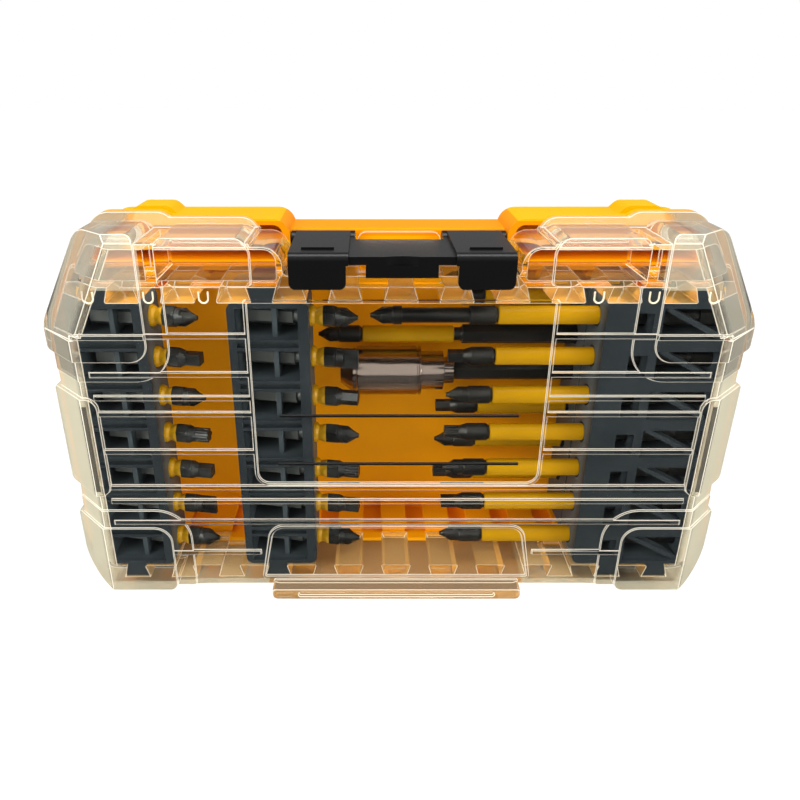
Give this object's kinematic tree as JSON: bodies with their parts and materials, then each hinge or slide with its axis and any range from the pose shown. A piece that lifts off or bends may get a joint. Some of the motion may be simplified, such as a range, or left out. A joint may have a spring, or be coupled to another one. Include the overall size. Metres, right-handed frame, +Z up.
{
  "type": "screwdriver bit set",
  "caption": "Hinged case with a clear lid and a snap latch, which holds insert bits, long driver bits and a quick-change bit holder in slide-in bars.",
  "frame": {"origin": "Middle of the footprint on the surface that the closed case stands on.", "axes": "+X to the right of the lid's front, +Y from the lid's front to the flat back, +Z up to the latch."},
  "size_m": [0.235, 0.057, 0.1333],
  "materials": {
    "yellow_shell": "moulded, satin gloss",
    "clear_shell": "clear, polished",
    "black_latch": "fine matte grain",
    "bar_plastic": "smooth matte",
    "yellow_trim": "satin",
    "black_steel": "black oxide",
    "chrome_steel": "bright plated",
    "plain_steel": "plain"
  },
  "bodies": {
    "base": {"bar_right_rear": "bar_plastic", "base_shell": "yellow_shell", "holder_ball": "plain_steel", "holder_core": "chrome_steel", "holder_magnet": "plain_steel", "holder_ring": "plain_steel", "holder_shank": "chrome_steel", "holder_spring": "plain_steel", "long_bit": "black_steel", "long_sleeve": "yellow_trim", "rear_bit_2": "black_steel", "rear_bit_3": "black_steel", "rear_bit_4": "black_steel", "rear_bit_7": "black_steel", "rear_sleeve_2": "yellow_trim", "rear_sleeve_3": "yellow_trim", "rear_sleeve_4": "yellow_trim", "rear_sleeve_7": "yellow_trim"},
    "lid": {"bar_left": "bar_plastic", "bar_middle": "bar_plastic", "bar_right_front": "bar_plastic", "left_bit_1": "black_steel", "left_bit_2": "black_steel", "left_bit_3": "black_steel", "left_bit_4": "black_steel", "left_bit_5": "black_steel", "left_bit_6": "black_steel", "left_bit_7": "black_steel", "left_bit_rings": "yellow_trim", "lid_shell": "clear_shell", "middle_bit_1": "black_steel", "middle_bit_2": "black_steel", "middle_bit_3": "black_steel", "middle_bit_4": "black_steel", "middle_bit_5": "black_steel", "middle_bit_6": "black_steel", "middle_bit_7": "black_steel", "middle_bit_rings": "yellow_trim", "power_bit_1": "black_steel", "power_bit_2": "black_steel", "power_bit_3": "black_steel", "power_bit_4": "black_steel", "power_bit_5": "black_steel", "power_bit_6": "black_steel", "power_bit_7": "black_steel", "power_sleeve_1": "yellow_trim", "power_sleeve_2": "yellow_trim", "power_sleeve_3": "yellow_trim", "power_sleeve_4": "yellow_trim", "power_sleeve_5": "yellow_trim", "power_sleeve_6": "yellow_trim", "power_sleeve_7": "yellow_trim"},
    "latch": {"latch": "black_latch"},
    "holder_sleeve": {"holder_sleeve": "chrome_steel"}
  },
  "joints": [
    {"name": "lid_hinge", "type": "hinge", "parent": "base", "child": "lid", "pos_m": [0, 0.0045, 0.002], "axis": [1, 0, 0], "range_deg": [0, 160]},
    {"name": "latch_hinge", "type": "hinge", "parent": "base", "child": "latch", "pos_m": [0, 0.008, 0.1231], "axis": [-1, 0, 0], "range_deg": [0, 105]},
    {"name": "holder_sleeve_slide", "type": "slide", "parent": "base", "child": "holder_sleeve", "axis": [1, 0, 0], "range_m": [0, 0.003], "stiffness_N_per_m": 400, "springref_m": -0.001}
  ]
}
